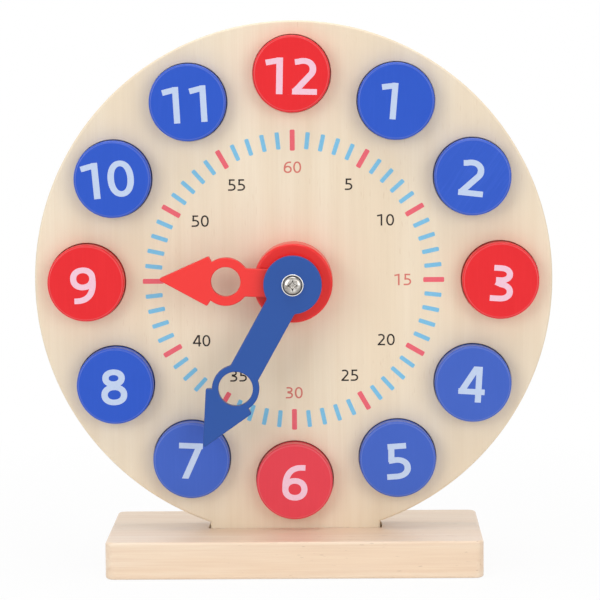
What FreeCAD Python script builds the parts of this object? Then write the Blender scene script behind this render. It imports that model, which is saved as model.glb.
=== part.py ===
import FreeCAD, Part

import math
import os
import re

import Sketcher
from FreeCAD import Placement, Rotation, Vector

# A teaching clock: a round wooden board standing in a slotted foot, twelve lift-out number
# discs, and a red hub whose gears turn the hour hand once for twelve turns of the minute hand.
# Millimetres. The origin is under the middle of the foot, +X to the right of someone facing
# the dial, +Z up, and the dial faces -Y. "Forward" below is the distance out of the dial's
# front face towards the viewer.

doc = FreeCAD.newDocument("teaching_clock")
sheet = doc.addObject("Spreadsheet::Sheet", "Sizes")

sizes = [
    # foot
    ("base_width", 165.5, "foot, left to right"),
    ("base_depth", 80.0, "foot, front to back"),
    ("base_height", 16.5, "foot, thickness"),
    ("base_corner_radius", 4.0, "foot, upright corners"),
    ("base_edge_bevel", 0.8, "foot, top and bottom edges"),
    ("slot_side_gap", 0.2, "slot wall to board, each side"),
    ("slot_end_gap", 0.7, "slot end to tenon, each end"),
    # dial board
    ("dial_diameter", 230.0, "round board"),
    ("dial_thickness", 15.0, "round board"),
    ("dial_edge_bevel", 0.6, "round board, both rims"),
    ("tenon_shoulder", 2.76, "foot's top to the board's rim, at the tongue's sides"),
    ("dial_setback", 34.8, "foot's front to the dial's face"),
    ("tenon_width", 76.0, "tongue under the board"),
    ("tenon_depth", 12.0, "tongue and slot, below the foot's top"),
    # number discs
    ("disc_diameter", 34.0, "number disc"),
    ("disc_thickness", 12.5, "number disc"),
    ("disc_edge_bevel", 0.6, "number disc, front edge"),
    ("disc_margin", 6.3, "number disc's edge to the board's rim"),
    ("six_inset", 2.5, "disc 6 sits this much nearer the centre"),
    ("recess_depth", 4.5, "seat of a disc in the board"),
    ("recess_gap", 0.3, "disc to seat, radially"),
    # hub
    ("hub_diameter", 35.0, "red gear case"),
    ("hub_height", 14.0, "red gear case, forward of the dial"),
    ("hub_wall", 2.3, "gear case, side wall"),
    ("hub_front_wall", 2.0, "gear case, front wall"),
    ("hub_edge_bevel", 0.8, "gear case, front edge"),
    ("boss_circle_radius", 11.8, "dial centre to the screw bosses"),
    ("boss_diameter", 5.0, "screw boss in the gear case"),
    ("hub_screw_diameter", 2.5, "screws from the back of the board"),
    ("hub_screw_bite", 6.5, "screw length inside the gear case"),
    ("hub_screw_head_diameter", 5.2, "screws from the back"),
    ("hub_screw_head_height", 1.7, "screws from the back"),
    ("screw_gap", 0.3, "screw to its clearance hole, radially"),
    ("pilot_gap", 0.05, "screw to its thread hole, radially"),
    ("plate_thickness", 2.0, "plate that closes the gear case"),
    ("snug_gap", 0.02, "pieces pressed together, radially"),
    ("running_gap", 0.06, "shaft in its bearing, radially"),
    # gears
    ("gear_module", 0.5, "arbor pinion and idler wheel"),
    ("arbor_teeth", 8, "pinion on the minute arbor"),
    ("idler_teeth", 24, "idler wheel"),
    ("idler_pinion_teeth", 8, "pinion on the idler"),
    ("hour_teeth", 32, "hour wheel"),
    ("gear_width", 2.4, "face width of a wheel"),
    ("gear_gap", 0.3, "along the shafts, between turning pieces"),
    ("gear_backlash", 0.05, "taken off each tooth at the pitch circle"),
    ("journal_diameter", 3.0, "back end of the minute arbor"),
    ("neck_diameter", 2.2, "groove for the clip"),
    ("arbor_diameter", 5.6, "minute arbor inside the hour pipe"),
    ("collar_diameter", 7.0, "collar behind the hour wheel"),
    ("collar_thickness", 0.5, "collar behind the hour wheel"),
    ("pipe_diameter", 8.0, "hour pipe"),
    ("shoulder_diameter", 9.6, "hour pipe inside the case"),
    ("stud_diameter", 1.6, "pin that the idler turns on"),
    ("stud_boss_diameter", 4.0, "boss round the front of the stud"),
    ("clip_diameter", 6.4, "clip behind the plate"),
    ("clip_thickness", 0.6, "clip behind the plate"),
    ("clip_room", 1.0, "round and behind the arbor's tail"),
    # hands
    ("hand_thickness", 4.0, "both hands"),
    ("hand_gap", 0.3, "hub to hour hand to minute hand"),
    ("hand_edge_bevel", 0.3, "both hands, front edges"),
    ("hand_corner_radius", 0.8, "both hands, points"),
    ("hand_root_radius", 1.2, "both hands, inner corners"),
    ("hour_angle", 272.4, "degrees clockwise from twelve, at rest"),
    ("hour_head_diameter", 24.0, "hour hand"),
    ("hour_stem_width", 12.4, "hour hand"),
    ("hour_ring_reach", 29.4, "hour hand, centre to ring"),
    ("hour_ring_diameter", 21.2, "hour hand, outside of the ring"),
    ("hour_ring_hole", 12.9, "hour hand, finger hole"),
    ("hour_barb_reach", 37.2, "hour hand, centre to barbs"),
    ("hour_barb_width", 22.0, "hour hand, across the barbs"),
    ("hour_tip_reach", 59.4, "hour hand, centre to tip"),
    ("minute_angle", 209.1, "degrees clockwise from twelve, at rest"),
    ("minute_head_diameter", 25.6, "minute hand"),
    ("minute_stem_width", 13.8, "minute hand"),
    ("minute_ring_reach", 52.1, "minute hand, centre to ring"),
    ("minute_ring_diameter", 20.8, "minute hand, outside of the ring"),
    ("minute_ring_hole", 15.1, "minute hand, finger hole"),
    ("minute_barb_reach", 58.4, "minute hand, centre to barbs"),
    ("minute_barb_width", 23.0, "minute hand, across the barbs"),
    ("minute_tip_reach", 82.2, "minute hand, centre to tip"),
    ("barb_sweep", 0.57, "rise of a barb's back edge over its run"),
    ("flat_width", 4.4, "across the flats that drive the minute hand"),
    # fasteners in front
    ("washer_diameter", 9.6, "washer"),
    ("washer_thickness", 0.6, "washer"),
    ("screw_diameter", 3.5, "centre screw"),
    ("screw_length", 9.0, "centre screw, under the head"),
    ("screw_head_diameter", 8.0, "centre screw"),
    ("screw_head_height", 2.2, "centre screw"),
    ("screw_head_round", 1.3, "centre screw, edge of the head"),
    ("cross_span", 4.0, "cross slot, end to end"),
    ("cross_width", 0.9, "cross slot"),
    ("cross_depth", 1.1, "cross slot"),
]
for row, (name, value, note) in enumerate(sizes, start=1):
    sheet.set("A%d" % row, note)
    sheet.set("B%d" % row, str(value))
    sheet.setAlias("B%d" % row, name)
doc.recompute()
names = {name for name, value, note in sizes}
hair = 1e-5    # lengths that differ by less are taken as the same


def bound(formula):
    """The formula with each size's name pointed at the sheet."""
    return re.sub(r"[a-z]\w*", lambda word: "Sizes." * (word[0] in names) + word[0], formula)


def number(formula):
    return float(sheet.evalExpression(bound(formula)))


# The dial's place on the foot: the tongue is a chord of the board, a little above the foot
dial_face = "dial_setback - base_depth / 2"
dial_lift = "(sqrt((dial_diameter / 2) ^ 2 - (tenon_width / 2) ^ 2) + tenon_shoulder)"
dial_centre = "base_height + " + dial_lift
disc_circle = "(dial_diameter / 2 - disc_margin - disc_diameter / 2)"

# Forward of the dial's face, from the back to the front
pinion_back = "plate_thickness + gear_gap"
idler_front = pinion_back + " + gear_width"
collar_back = idler_front + " + gear_gap"
hour_wheel_back = collar_back + " + collar_thickness + gear_gap"
hour_wheel_front = hour_wheel_back + " + gear_width"
idler_pinion_front = hour_wheel_front + " + gear_gap"
case_inside = "hub_height - hub_front_wall"
hour_back = "hub_height + hand_gap"
hour_front = hour_back + " + hand_thickness"
minute_back = hour_front + " + hand_gap"
minute_front = minute_back + " + hand_thickness"
screw_seat = minute_front + " + washer_thickness"
arbor_tail = "2 * clip_thickness + gear_gap"

# The gears: both pairs stand at one centre distance, which sets the module of the second
gear_centres = "gear_module * (arbor_teeth + idler_teeth) / 2"
slow_module = gear_centres + " * 2 / (idler_pinion_teeth + hour_teeth)"
pressure_angle = math.radians(20)
tooth_shift = 0.4
pinion_addendum = 1.3
wheel_addendum = 0.6
dedendum = 1.25
flank_steps = 3

boss_angles = (60, 180, 300)
inner_radius = "hub_diameter / 2 - hub_wall"


def new_body(label):
    body = doc.addObject("PartDesign::Body", label)
    body.Label = label
    return body


def new_sketch(body, name, plane="XZ_Plane", forward="0"):
    """A sketch on one of the body's planes; on XZ_Plane it faces forward, X across and Z up."""
    sketch = body.newObject("Sketcher::SketchObject", name)
    support = next(part for part in body.Origin.OriginFeatures if part.Role == plane)
    sketch.AttachmentSupport = [(support, "")]
    sketch.MapMode = "FlatFace"
    sketch.setExpression("AttachmentOffset.Base.z", bound(forward))
    return sketch


def bind(sketch, constraint, formula):
    index = sketch.addConstraint(constraint)
    sketch.renameConstraint(index, "size%d" % index)
    sketch.setExpression("Constraints.size%d" % index, bound(formula))


def hold_point(sketch, item, end, across, up):
    """Dimensions that hold one point of a sketch at its formulas."""
    for kind, axis, formula in (("DistanceX", -2, across), ("DistanceY", -1, up)):
        value = number(formula)
        if abs(value) < 1e-9:
            sketch.addConstraint(Sketcher.Constraint("PointOnObject", item, end, axis))
        else:
            bind(sketch, Sketcher.Constraint(kind, -1, 1, item, end, value), formula)


def draw_outline(sketch, corners):
    """A closed run of straight lines through corners given as pairs of formulas."""
    points = [Vector(number(across), number(up), 0) for across, up in corners]
    count = len(points)
    first = sketch.GeometryCount
    for index in range(count):
        sketch.addGeometry(Part.LineSegment(points[index], points[(index + 1) % count]), False)
    for index in range(count):
        after = first + (index + 1) % count
        sketch.addConstraint(Sketcher.Constraint("Coincident", first + index, 2, after, 1))
    for index, (across, up) in enumerate(corners):
        hold_point(sketch, first + index, 1, across, up)


def draw_rectangle(sketch, width, low, high):
    """A rectangle centred across, between two heights."""
    half = "(%s) / 2" % width
    draw_outline(sketch, [("-" + half, low), (half, low), (half, high), ("-" + half, high)])


def draw_circle(sketch, across, up, diameter):
    middle = Vector(number(across), number(up), 0)
    radius = number(diameter) / 2
    item = sketch.addGeometry(Part.Circle(middle, Vector(0, 0, 1), radius), False)
    hold_point(sketch, item, 3, across, up)
    bind(sketch, Sketcher.Constraint("Diameter", item, 2 * radius), diameter)


def pad(body, sketch, name, length, backwards=False):
    feature = body.newObject("PartDesign::Pad", name)
    feature.Profile = sketch
    feature.setExpression("Length", bound(length))
    feature.Reversed = backwards
    doc.recompute()
    return feature


def pocket(body, sketch, name, depth, forwards=False):
    """A cut from the sketch into the piece behind it, or forwards out of it."""
    before = body.Shape.Volume
    feature = body.newObject("PartDesign::Pocket", name)
    feature.Profile = sketch
    feature.setExpression("Length", bound(depth))
    feature.Reversed = forwards
    doc.recompute()
    if not body.Shape.Volume < before - 1e-6:
        raise RuntimeError("%s cut nothing" % name)
    return feature


def revolve(body, name, profile):
    """A turned piece: the profile's corners are (forward, radius), round the dial's axis."""
    sketch = new_sketch(body, name + "_profile", "YZ_Plane")
    draw_outline(sketch, [("-(%s)" % forward, radius) for forward, radius in profile])
    feature = body.newObject("PartDesign::Revolution", name)
    feature.Profile = sketch
    feature.ReferenceAxis = (sketch, ["H_Axis"])
    feature.Angle = 360
    doc.recompute()
    return feature


def ease_edges(body, kind, name, wanted, property_name, size):
    """Works along the edges of the body's last feature that the test picks out."""
    base = body.Tip
    edges = ["Edge%d" % (index + 1) for index, edge in enumerate(base.Shape.Edges) if wanted(edge)]
    feature = body.newObject(kind, name)
    feature.Base = (base, edges)
    feature.setExpression(property_name, bound(size))
    doc.recompute()
    return feature


def round_edges(body, name, wanted, radius):
    return ease_edges(body, "PartDesign::Fillet", name, wanted, "Radius", radius)


def bevel_edges(body, name, wanted, size):
    return ease_edges(body, "PartDesign::Chamfer", name, wanted, "Size", size)


def is_upright(edge, side):
    """True for a straight edge through a hand's thickness, this far to either side."""
    return runs_along(edge, Vector(0, 1, 0)) and abs(abs(edge.CenterOfMass.x) - side) < 1e-3


def is_rim(edge, diameter, forward):
    """True for a circle round the dial's axis, of this diameter and this far forward."""
    curve = edge.Curve
    if not isinstance(curve, Part.Circle):
        return False
    same_size = abs(curve.Radius - number(diameter) / 2) < 1e-4
    return same_size and abs(curve.Center.y + number(forward)) < 1e-4


def runs_along(edge, direction):
    """True for a straight edge along a direction."""
    if not isinstance(edge.Curve, Part.Line):
        return False
    return abs(edge.tangentAt(edge.FirstParameter).dot(direction)) > 0.999


def seat_on_dial(piece, across="0", up="0", turn="0"):
    """Puts a piece that was drawn about the dial's centre where the dial stands."""
    piece.Placement = Placement(Vector(), Rotation(Vector(0, 1, 0), number(turn)))
    piece.setExpression("Placement.Base.x", bound(across))
    piece.setExpression("Placement.Base.y", bound(dial_face))
    piece.setExpression("Placement.Base.z", bound("%s + %s" % (dial_centre, up)))


def disc_place(hour):
    """Where a number disc sits on the dial, across and up from the centre."""
    reach = "(%s - six_inset)" % disc_circle if hour == 6 else disc_circle
    return "%s * sin(%d)" % (reach, 30 * hour), "%s * cos(%d)" % (reach, 30 * hour)


def boss_place(angle):
    return "boss_circle_radius * cos(%d)" % angle, "boss_circle_radius * sin(%d)" % angle


def make_base():
    body = new_body("base")
    outline = new_sketch(body, "base_outline", "XY_Plane")
    draw_rectangle(outline, "base_width", "-base_depth / 2", "base_depth / 2")
    pad(body, outline, "base_block", "base_height")
    upright = lambda edge: runs_along(edge, Vector(0, 0, 1))
    round_edges(body, "base_corners", upright, "base_corner_radius")
    flat = lambda edge: edge.BoundBox.ZLength < hair
    bevel_edges(body, "base_edges", flat, "base_edge_bevel")
    slot = new_sketch(body, "slot_outline", "XY_Plane", "base_height")
    draw_rectangle(
        slot,
        "tenon_width + 2 * slot_end_gap",
        dial_face + " - slot_side_gap",
        dial_face + " + dial_thickness + slot_side_gap",
    )
    pocket(body, slot, "base_slot", "tenon_depth")
    return body


def make_dial_board():
    body = new_body("dial_board")
    face = new_sketch(body, "dial_face")
    draw_circle(face, "0", "0", "dial_diameter")
    pad(body, face, "dial_disc", "dial_thickness", backwards=True)
    rim = lambda edge: isinstance(edge.Curve, Part.Circle)
    bevel_edges(body, "dial_rims", rim, "dial_edge_bevel")
    tongue = new_sketch(body, "tenon_outline")
    draw_rectangle(tongue, "tenon_width", "-(%s + tenon_depth)" % dial_lift, "0")
    pad(body, tongue, "tenon", "dial_thickness", backwards=True)
    seats = new_sketch(body, "disc_seats")
    for hour in range(1, 13):
        draw_circle(seats, *disc_place(hour), "disc_diameter + 2 * recess_gap")
    pocket(body, seats, "disc_recesses", "recess_depth")
    middle = new_sketch(body, "arbor_room_outline")
    draw_circle(middle, "0", "0", "clip_diameter + 2 * clip_room")
    pocket(body, middle, "arbor_room", arbor_tail + " + clip_room")
    shafts = new_sketch(body, "hub_screw_holes_outline")
    heads = new_sketch(body, "hub_screw_seats_outline", forward="-dial_thickness")
    for angle in boss_angles:
        draw_circle(shafts, *boss_place(angle), "hub_screw_diameter + 2 * screw_gap")
        draw_circle(heads, *boss_place(angle), "hub_screw_head_diameter + 2 * screw_gap")
    pocket(body, shafts, "hub_screw_holes", "dial_thickness")
    pocket(body, heads, "hub_screw_seats", "hub_screw_head_height + screw_gap", forwards=True)
    seat_on_dial(body)
    return body


def make_number_disc(hour):
    label = "number_disc_%d" % hour
    body = new_body(label)
    face = new_sketch(body, label + "_face", forward="-recess_depth")
    draw_circle(face, "0", "0", "disc_diameter")
    pad(body, face, label + "_blank", "disc_thickness")
    front = lambda edge: is_rim(edge, "disc_diameter", "disc_thickness - recess_depth")
    bevel_edges(body, label + "_edge", front, "disc_edge_bevel")
    seat_on_dial(body, *disc_place(hour))
    return body


def make_hub_case():
    """A cup over the gears: a bush for the hour pipe, three screw bosses and the stud's boss."""
    body = new_body("hub_case")
    bush = "pipe_diameter / 2 + running_gap"
    profile = [
        ("0", inner_radius),
        ("0", "hub_diameter / 2"),
        ("hub_height", "hub_diameter / 2"),
        ("hub_height", bush),
        (case_inside, bush),
        (case_inside, inner_radius),
    ]
    revolve(body, "hub_shell", profile)
    front = lambda edge: is_rim(edge, "hub_diameter", "hub_height")
    bevel_edges(body, "hub_front_edge", front, "hub_edge_bevel")
    bosses = new_sketch(body, "hub_boss_outline", forward="plate_thickness")
    holes = new_sketch(body, "hub_boss_holes_outline", forward="plate_thickness")
    for angle in boss_angles:
        draw_circle(bosses, *boss_place(angle), "boss_diameter")
        draw_circle(holes, *boss_place(angle), "hub_screw_diameter + 2 * pilot_gap")
    pad(body, bosses, "hub_bosses", "%s - plate_thickness" % case_inside)
    pocket(body, holes, "hub_boss_holes", "hub_screw_bite", forwards=True)
    boss_back = idler_pinion_front + " + gear_gap"
    stud_boss = new_sketch(body, "stud_boss_outline", forward=boss_back)
    draw_circle(stud_boss, gear_centres, "0", "stud_boss_diameter")
    pad(body, stud_boss, "stud_boss", "%s - (%s)" % (case_inside, boss_back))
    stud_hole = new_sketch(body, "stud_hole_outline", forward=boss_back)
    draw_circle(stud_hole, gear_centres, "0", "stud_diameter + 2 * snug_gap")
    pocket(body, stud_hole, "stud_hole", "%s - (%s)" % (case_inside, boss_back), forwards=True)
    seat_on_dial(body)
    return body


def make_gear_plate():
    body = new_body("gear_plate")
    face = new_sketch(body, "plate_face")
    draw_circle(face, "0", "0", "2 * (%s - snug_gap)" % inner_radius)
    pad(body, face, "plate_disc", "plate_thickness")
    holes = new_sketch(body, "plate_holes_outline", forward="plate_thickness")
    draw_circle(holes, "0", "0", "journal_diameter + 2 * running_gap")
    draw_circle(holes, gear_centres, "0", "stud_diameter + 2 * snug_gap")
    for angle in boss_angles:
        draw_circle(holes, *boss_place(angle), "hub_screw_diameter + 2 * screw_gap")
    pocket(body, holes, "plate_holes", "plate_thickness")
    seat_on_dial(body)
    return body


def make_idler_stud():
    body = new_body("idler_stud")
    face = new_sketch(body, "stud_face")
    draw_circle(face, gear_centres, "0", "stud_diameter")
    pad(body, face, "stud_pin", case_inside)
    seat_on_dial(body)
    return body


def toothed_face(teeth, module, addendum, shift, first_tooth, middle):
    """The face of a gear with its first tooth at an angle, measured from +X towards +Z.

    Each flank is an involute of the base circle; below the base circle it runs straight in.
    """
    pitch_radius = module * teeth / 2
    base_radius = pitch_radius * math.cos(pressure_angle)
    tip_radius = pitch_radius + module * addendum
    root_radius = pitch_radius - module * (dedendum - shift)
    start_radius = max(base_radius, root_radius)
    slack = number("gear_backlash")
    tooth_width = module * (math.pi / 2 + 2 * shift * math.tan(pressure_angle)) - slack
    half_angle = tooth_width / (2 * pitch_radius)

    def involute(angle):
        return math.tan(angle) - angle

    def half_tooth(radius):
        """Half the tooth's angle at a radius."""
        slope = math.acos(min(1, base_radius / radius))
        return half_angle + involute(pressure_angle) - involute(slope)

    def place(radius, angle):
        return Vector(middle + radius * math.cos(angle), 0, radius * math.sin(angle))

    rise_by = (tip_radius - start_radius) / flank_steps
    steps = [start_radius + rise_by * step for step in range(flank_steps + 1)]
    edges = []
    pitch_angle = 2 * math.pi / teeth
    root_half = half_tooth(start_radius)
    for tooth in range(teeth):
        centre = math.radians(first_tooth) + tooth * pitch_angle
        rise = [place(radius, centre - half_tooth(radius)) for radius in steps]
        fall = [place(radius, centre + half_tooth(radius)) for radius in reversed(steps)]
        foot_in = place(root_radius, centre - root_half)
        foot_out = place(root_radius, centre + root_half)
        valley = place(root_radius, centre + pitch_angle / 2)
        next_foot = place(root_radius, centre + pitch_angle - root_half)
        if start_radius > root_radius + hair:
            edges.append(Part.LineSegment(foot_in, rise[0]).toShape())
        for flank in (rise, fall):
            curve = Part.BSplineCurve()
            curve.interpolate(flank)
            edges.append(curve.toShape())
            if flank is rise:
                edges.append(Part.Arc(rise[-1], place(tip_radius, centre), fall[0]).toShape())
        if start_radius > root_radius + hair:
            edges.append(Part.LineSegment(fall[-1], foot_out).toShape())
        edges.append(Part.Arc(foot_out, valley, next_foot).toShape())
    return Part.Face(Part.Wire(edges))


def add_teeth(name, teeth, module, pinion, first_tooth, back, front, middle="0"):
    """A solid gear blank with teeth, between two distances forward."""
    addendum, shift = (pinion_addendum, tooth_shift) if pinion else (wheel_addendum, -tooth_shift)
    face = toothed_face(int(number(teeth)), number(module), addendum, shift, first_tooth, number(middle))
    gear = doc.addObject("Part::Feature", name)
    gear.Shape = face.extrude(Vector(0, number(back) - number(front), 0))
    gear.Placement = Placement(Vector(0, -number(back), 0), Rotation())
    return gear


def half_pitch(teeth):
    """Turns a wheel so that a gap, not a tooth, lies at an angle."""
    return 180 / number(teeth)


def rod(name, diameter, back, front, middle="0"):
    """A plain cylinder along the shafts, between two distances forward."""
    cylinder = doc.addObject("Part::Cylinder", name)
    cylinder.Placement = Placement(Vector(), Rotation(Vector(1, 0, 0), 90))
    cylinder.setExpression("Radius", bound("(%s) / 2" % diameter))
    cylinder.setExpression("Height", bound("%s - (%s)" % (front, back)))
    cylinder.setExpression("Placement.Base.x", bound(middle))
    cylinder.setExpression("Placement.Base.y", bound("-(%s)" % back))
    return cylinder


def join(label, *pieces):
    fusion = doc.addObject("Part::MultiFuse", label)
    fusion.Label = label
    fusion.Shapes = list(pieces)
    return fusion


def cut(label, blank, tool):
    remainder = doc.addObject("Part::Cut", label)
    remainder.Label = label
    remainder.Base = blank
    remainder.Tool = tool
    return remainder


def make_minute_arbor():
    """The shaft behind the minute hand: clip groove, journal, pinion, collar, barrel, flats."""
    shaft = new_body("arbor_shaft")
    end = minute_front + " - hand_gap"
    groove_back = "-(gear_gap + clip_thickness)"
    profile = [
        ("-(%s)" % arbor_tail, "0"),
        ("-(%s)" % arbor_tail, "journal_diameter / 2"),
        (groove_back, "journal_diameter / 2"),
        (groove_back, "neck_diameter / 2"),
        ("-gear_gap", "neck_diameter / 2"),
        ("-gear_gap", "journal_diameter / 2"),
        (collar_back, "journal_diameter / 2"),
        (collar_back, "collar_diameter / 2"),
        (collar_back + " + collar_thickness", "collar_diameter / 2"),
        (collar_back + " + collar_thickness", "arbor_diameter / 2"),
        (end, "arbor_diameter / 2"),
        (end, "0"),
    ]
    revolve(shaft, "arbor_turning", profile)
    flats = new_sketch(shaft, "arbor_flats_outline", forward=end)
    for side in ("", "-"):
        corners = [(side + "flat_width / 2", "-arbor_diameter"), (side + "arbor_diameter", "-arbor_diameter")]
        corners += [(side + "arbor_diameter", "arbor_diameter"), (side + "flat_width / 2", "arbor_diameter")]
        draw_outline(flats, corners)
    pocket(shaft, flats, "arbor_flats", "%s - (%s)" % (end, minute_back))
    hole = new_sketch(shaft, "arbor_hole_outline", forward=end)
    draw_circle(hole, "0", "0", "screw_diameter + 2 * pilot_gap")
    pocket(shaft, hole, "arbor_hole", "screw_length")
    # turned with the hand, so that the flats fit its hole, and a tooth still points at the idler
    first_tooth = number("minute_angle")
    pinion = add_teeth(
        "arbor_pinion", "arbor_teeth", "gear_module", True, first_tooth, pinion_back, collar_back
    )
    arbor = join("minute_arbor", shaft, pinion)
    seat_on_dial(arbor, turn="minute_angle")
    return arbor


def make_idler_wheel():
    towards_centre = 180
    wheel = add_teeth(
        "idler_rim", "idler_teeth", "gear_module", False,
        towards_centre + half_pitch("idler_teeth"), pinion_back, idler_front, gear_centres,
    )
    pinion = add_teeth(
        "idler_pinion", "idler_pinion_teeth", slow_module, True,
        towards_centre, idler_front, idler_pinion_front, gear_centres,
    )
    blank = join("idler_blank", wheel, pinion)
    bore_size = "stud_diameter + 2 * running_gap"
    bore = rod("idler_bore", bore_size, "0", idler_pinion_front + " + gear_width", gear_centres)
    idler = cut("idler_wheel", blank, bore)
    seat_on_dial(idler)
    return idler


def make_hour_wheel():
    """The wheel that carries the hour hand on a pipe round the minute arbor."""
    rim = add_teeth(
        "hour_rim", "hour_teeth", slow_module, False,
        half_pitch("hour_teeth"), hour_wheel_back, hour_wheel_front,
    )
    shoulder = rod("hour_shoulder", "shoulder_diameter", hour_wheel_back, case_inside + " - gear_gap")
    pipe = rod("hour_pipe", "pipe_diameter", hour_wheel_back, hour_front)
    blank = join("hour_blank", rim, shoulder, pipe)
    bore = rod("hour_bore", "arbor_diameter + 2 * running_gap", "0", minute_front)
    wheel = cut("hour_wheel", blank, bore)
    seat_on_dial(wheel)
    return wheel


def make_hand(hand, back):
    """A flat hand, drawn pointing at twelve: head, stem, finger ring and arrowhead."""
    label = hand + "_hand"
    size_of = lambda part: "%s_%s" % (hand, part)
    body = new_body(label)
    head = new_sketch(body, label + "_head_outline", forward=back)
    draw_circle(head, "0", "0", size_of("head_diameter"))
    pad(body, head, label + "_head", "hand_thickness")
    stem = new_sketch(body, label + "_stem_outline", forward=back)
    draw_rectangle(stem, size_of("stem_width"), "0", size_of("ring_reach"))
    pad(body, stem, label + "_stem", "hand_thickness")
    ring = new_sketch(body, label + "_ring_outline", forward=back)
    draw_circle(ring, "0", size_of("ring_reach"), size_of("ring_diameter"))
    pad(body, ring, label + "_ring", "hand_thickness")
    arrow = new_sketch(body, label + "_arrow_outline", forward=back)
    half_width = size_of("barb_width") + " / 2"
    heel = "%s - barb_sweep * %s" % (size_of("barb_reach"), half_width)
    corners = [("-" + half_width, size_of("barb_reach")), ("0", heel)]
    corners += [(half_width, size_of("barb_reach")), ("0", size_of("tip_reach"))]
    draw_outline(arrow, corners)
    pad(body, arrow, label + "_arrow", "hand_thickness")
    side = number(size_of("stem_width")) / 2
    is_inner = lambda edge: is_upright(edge, side)
    round_edges(body, label + "_inner_corners", is_inner, "hand_root_radius")
    finger = new_sketch(body, label + "_finger_outline", forward=back + " + hand_thickness")
    draw_circle(finger, "0", size_of("ring_reach"), size_of("ring_hole"))
    pocket(body, finger, label + "_finger_hole", "hand_thickness")
    line = number(size_of("barb_reach")) - 1e-3
    is_point = lambda edge: runs_along(edge, Vector(0, 1, 0)) and edge.CenterOfMass.z > line
    round_edges(body, label + "_points", is_point, "hand_corner_radius")
    return body


def finish_hand(body, hand, front):
    """Bevels every edge of the front face, finger hole included."""
    top = -number(front)
    on_front = lambda edge: abs(edge.BoundBox.YMin - top) < hair and edge.BoundBox.YLength < hair
    bevel_edges(body, hand + "_hand_front_edges", on_front, "hand_edge_bevel")


def make_hour_hand():
    body = make_hand("hour", hour_back)
    finish_hand(body, "hour", hour_front)
    bore = new_sketch(body, "hour_hand_bore_outline", forward=hour_front)
    draw_circle(bore, "0", "0", "pipe_diameter + 2 * snug_gap")
    pocket(body, bore, "hour_hand_bore", "hand_thickness")
    seat_on_dial(body, turn="hour_angle")
    return body


def make_minute_hand():
    body = make_hand("minute", minute_back)
    finish_hand(body, "minute", minute_front)
    bore = new_sketch(body, "minute_hand_bore_outline", forward=minute_front)
    draw_rectangle(bore, "flat_width + 2 * snug_gap", "-arbor_diameter / 2", "arbor_diameter / 2")
    pocket(body, bore, "minute_hand_bore", "hand_thickness")
    seat_on_dial(body, turn="minute_angle")
    return body


def make_arbor_clip():
    body = new_body("arbor_clip")
    ring = new_sketch(body, "clip_outline", forward="-(gear_gap + clip_thickness)")
    draw_circle(ring, "0", "0", "clip_diameter")
    draw_circle(ring, "0", "0", "neck_diameter + 2 * snug_gap")
    pad(body, ring, "clip_ring", "clip_thickness")
    mouth = new_sketch(body, "clip_mouth_outline", forward="-gear_gap")
    draw_rectangle(mouth, "neck_diameter", "-clip_diameter", "0")
    pocket(body, mouth, "clip_mouth", "clip_thickness")
    seat_on_dial(body)
    return body


def make_washer():
    body = new_body("washer")
    ring = new_sketch(body, "washer_outline", forward=minute_front)
    draw_circle(ring, "0", "0", "washer_diameter")
    draw_circle(ring, "0", "0", "screw_diameter + 2 * screw_gap")
    pad(body, ring, "washer_ring", "washer_thickness")
    seat_on_dial(body)
    return body


def make_centre_screw():
    """A pan-head screw with a cross slot."""
    body = new_body("centre_screw")
    head_front = screw_seat + " + screw_head_height"
    profile = [
        (screw_seat + " - screw_length", "0"),
        (screw_seat + " - screw_length", "screw_diameter / 2"),
        (screw_seat, "screw_diameter / 2"),
        (screw_seat, "screw_head_diameter / 2"),
        (head_front, "screw_head_diameter / 2"),
        (head_front, "0"),
    ]
    revolve(body, "centre_screw_turning", profile)
    crown = lambda edge: is_rim(edge, "screw_head_diameter", head_front)
    round_edges(body, "centre_screw_crown", crown, "screw_head_round")
    for name, width, height in (("across", "cross_span", "cross_width"), ("up", "cross_width", "cross_span")):
        slot = new_sketch(body, "cross_%s_outline" % name, forward=head_front)
        draw_rectangle(slot, width, "-%s / 2" % height, "%s / 2" % height)
        pocket(body, slot, "cross_" + name, "cross_depth")
    seat_on_dial(body)
    return body


def make_hub_screws():
    """Three screws that hold the gear case, driven from the back of the board."""
    screws = []
    head_front = "-(dial_thickness - hub_screw_head_height)"
    for index, angle in enumerate(boss_angles, start=1):
        body = new_body("hub_screw_%d" % index)
        across, up = boss_place(angle)
        shank = new_sketch(body, "hub_screw_%d_shank_outline" % index, forward=head_front)
        draw_circle(shank, across, up, "hub_screw_diameter")
        length = "dial_thickness - hub_screw_head_height + plate_thickness + hub_screw_bite - screw_gap"
        pad(body, shank, "hub_screw_%d_shank" % index, length)
        head = new_sketch(body, "hub_screw_%d_head_outline" % index, forward=head_front)
        draw_circle(head, across, up, "hub_screw_head_diameter")
        pad(body, head, "hub_screw_%d_head" % index, "hub_screw_head_height", backwards=True)
        screws.append(body)
    group = doc.addObject("Part::Compound", "hub_screws")
    group.Label = "hub_screws"
    group.Links = screws
    seat_on_dial(group)
    return group


nodes = [make_base(), make_dial_board()]
nodes += [make_number_disc(hour) for hour in range(1, 13)]
nodes += [make_hub_case(), make_gear_plate(), make_idler_stud(), make_hub_screws()]
nodes += [make_minute_arbor(), make_idler_wheel(), make_hour_wheel()]
nodes += [make_hour_hand(), make_minute_hand()]
nodes += [make_arbor_clip(), make_washer(), make_centre_screw()]
doc.recompute()

for item in doc.Objects:
    if "Invalid" in item.State or "Error" in item.State:
        raise RuntimeError("%s failed: %s" % (item.Label, item.State))
for node in nodes:
    if node.Shape.isNull() or not node.Shape.isValid() or not node.Shape.Solids:
        raise RuntimeError("%s has no sound solid" % node.Label)

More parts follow.
